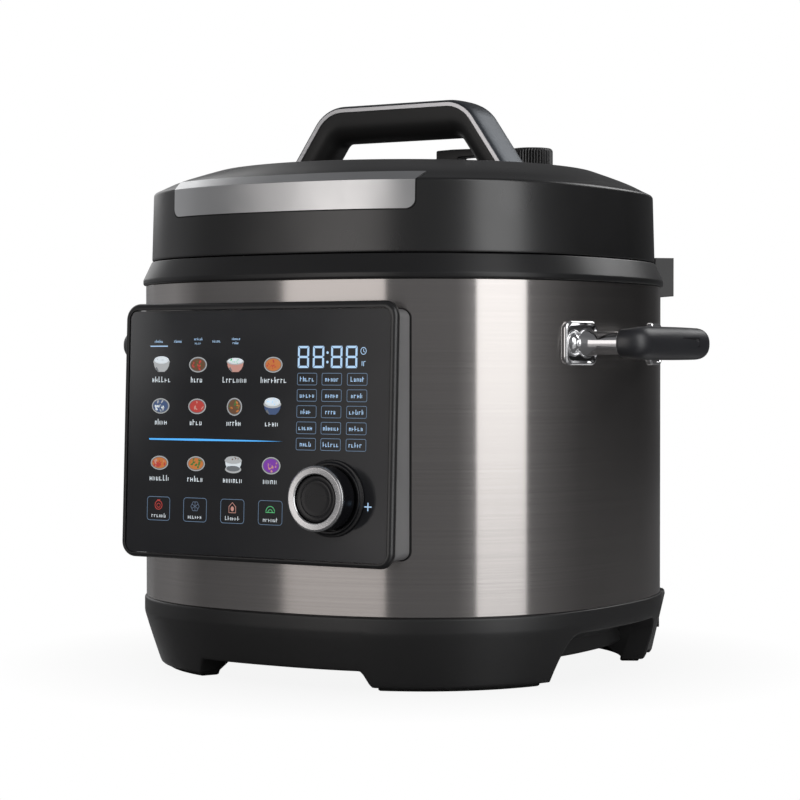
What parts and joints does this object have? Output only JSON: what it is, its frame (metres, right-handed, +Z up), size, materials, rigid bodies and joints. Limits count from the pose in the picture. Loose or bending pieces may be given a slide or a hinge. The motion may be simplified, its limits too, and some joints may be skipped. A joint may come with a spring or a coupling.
{
  "type": "electric pressure cooker",
  "caption": "Electric pressure cooker with rounded-square steel body, lift-off lid with turning disc and arch handle, touch panel with control knob, and side handles.",
  "frame": {"origin": "on the resting plane, on the upright axis of the body and pot, which is within a few millimetres of the middle of the object's bounding box", "axes": "+Z up; -Y is the front, where the control panel faces; +X is to the right as seen from the front, and the side handles stand out along X"},
  "size_m": [0.373, 0.364, 0.3435],
  "materials": {
    "base_plastic": "fine satin texture",
    "inner_metal": "plain",
    "foot_rubber": "matte",
    "dark_steel": "dark tinted, brushed round the body",
    "ring_plastic": "satin",
    "pot_steel": "brushed",
    "plate_aluminium": "cast",
    "spring_steel": "plain",
    "insulation": "fibre felt",
    "board": "laminate",
    "socket_plastic": "plain",
    "brass_pins": "plain",
    "cup_plastic": "smoked clear",
    "housing_plastic": "satin grey",
    "bezel_plastic": "satin edge",
    "panel_glass": "dark printed back",
    "knob_black": "satin",
    "knob_silver": "turned, bright edges",
    "chrome": "polished",
    "lid_plastic": "satin",
    "trim_plate_metal": "satin silver",
    "slip_plastic": "plain",
    "handle_paint": "fine metallic blue-grey",
    "handle_silver": "satin",
    "seal_silicone": "translucent white silicone",
    "float_silicone": "red silicone and metal"
  },
  "bodies": {
    "root": {"base_tray": "base_plastic", "bottom_plate": "inner_metal", "base_screws": "inner_metal", "rubber_feet": "foot_rubber", "steel_shell": "dark_steel", "upper_ring": "ring_plastic", "outer_pot": "pot_steel", "locking_flange": "pot_steel", "heating_plate": "plate_aluminium", "heater_element": "plate_aluminium", "plate_standoffs": "inner_metal", "insulation_sleeve": "insulation", "probe_bracket": "inner_metal", "pressure_switch": "board", "power_board": "board", "inlet_housing": "base_plastic", "inlet_socket": "socket_plastic", "inlet_pins": "brass_pins", "lid_rests": "base_plastic", "cup_rails": "base_plastic", "panel_gasket": "foot_rubber", "panel_housing": "housing_plastic", "panel_bezel": "bezel_plastic", "panel_glass": "panel_glass", "display_module": "board", "control_board": "board", "rotary_encoder": "board", "knob_base_ring": "knob_black", "bracket_plates": "chrome", "handle_tubes": "chrome", "right_grip": "foot_rubber", "left_grip": "foot_rubber"},
    "thermostat": {"temperature_probe": "plate_aluminium", "probe_spring": "spring_steel"},
    "inner_pot": {"inner_pot": "pot_steel"},
    "condensate_cup": {"condensate_cup": "cup_plastic"},
    "control_knob": {"encoder_shaft": "inner_metal", "control_knob": "knob_black", "knob_ring": "knob_silver"},
    "knob_button": {"knob_button": "knob_black"},
    "lid": {"lid_cover": "lid_plastic", "lid_underplate": "ring_plastic", "lid_trim_plate": "trim_plate_metal", "lid_slip_ring": "slip_plastic"},
    "lid_turntable": {"lid_top_disc": "lid_plastic", "lid_handle": "handle_paint", "handle_core": "lid_plastic", "handle_trims": "handle_silver", "handle_screws": "inner_metal", "pressure_lid": "pot_steel", "sealing_ring": "seal_silicone", "seal_rack": "pot_steel", "valve_stem": "pot_steel", "steam_filter": "pot_steel", "lever_bracket": "lid_plastic", "lever_pin": "inner_metal"},
    "steam_knob": {"steam_knob": "lid_plastic"},
    "release_lever": {"release_lever": "lid_plastic"},
    "float_valve": {"float_valve": "float_silicone"}
  },
  "joints": [
    {"name": "lid_lift", "type": "slide", "parent": "root", "child": "lid", "axis": [0, 0, 1], "range_m": [0, 0.42]},
    {"name": "lid_turn", "type": "hinge", "parent": "lid", "child": "lid_turntable", "pos_m": [0, 0, 0.3], "axis": [0, 0, -1], "range_deg": [0, 30]},
    {"name": "pot_lift", "type": "slide", "parent": "root", "child": "inner_pot", "axis": [0, 0, 1], "range_m": [0, 0.2016]},
    {"name": "steam_knob_turn", "type": "hinge", "parent": "lid_turntable", "child": "steam_knob", "pos_m": [0.055, 0.062, 0.31], "axis": [0, 0, 1], "range_deg": [0, 75]},
    {"name": "release_lever_tilt", "type": "hinge", "parent": "lid_turntable", "child": "release_lever", "pos_m": [0.024, 0.062, 0.3126], "axis": [0, -1, 0], "range_deg": [0, 5], "stiffness_Nm_per_rad": 0.8, "springref_deg": -2.86},
    {"name": "float_valve_rise", "type": "slide", "parent": "lid_turntable", "child": "float_valve", "axis": [0, 0, 1], "range_m": [0, 0.004]},
    {"name": "control_knob_turn", "type": "hinge", "parent": "root", "child": "control_knob", "pos_m": [0.0527, -0.16534, 0.10953], "axis": [0, -0.9993, 0.0384], "continuous": true},
    {"name": "knob_button_press", "type": "slide", "parent": "control_knob", "child": "knob_button", "axis": [0, 0.9993, -0.0384], "range_m": [0, 0.001], "stiffness_N_per_m": 1500, "springref_m": -0.0005},
    {"name": "thermostat_press", "type": "slide", "parent": "root", "child": "thermostat", "axis": [0, 0, 1], "range_m": [-0.003, 0], "stiffness_N_per_m": 800, "springref_m": 0.002, "deforming": ["probe_spring"]},
    {"name": "condensate_cup_slide", "type": "slide", "parent": "root", "child": "condensate_cup", "axis": [0, 1, 0], "range_m": [0, 0.06]}
  ],
  "couplings": [
    {"joint": "pot_lift", "follows": "lid_lift", "ratio": 0.48}
  ]
}
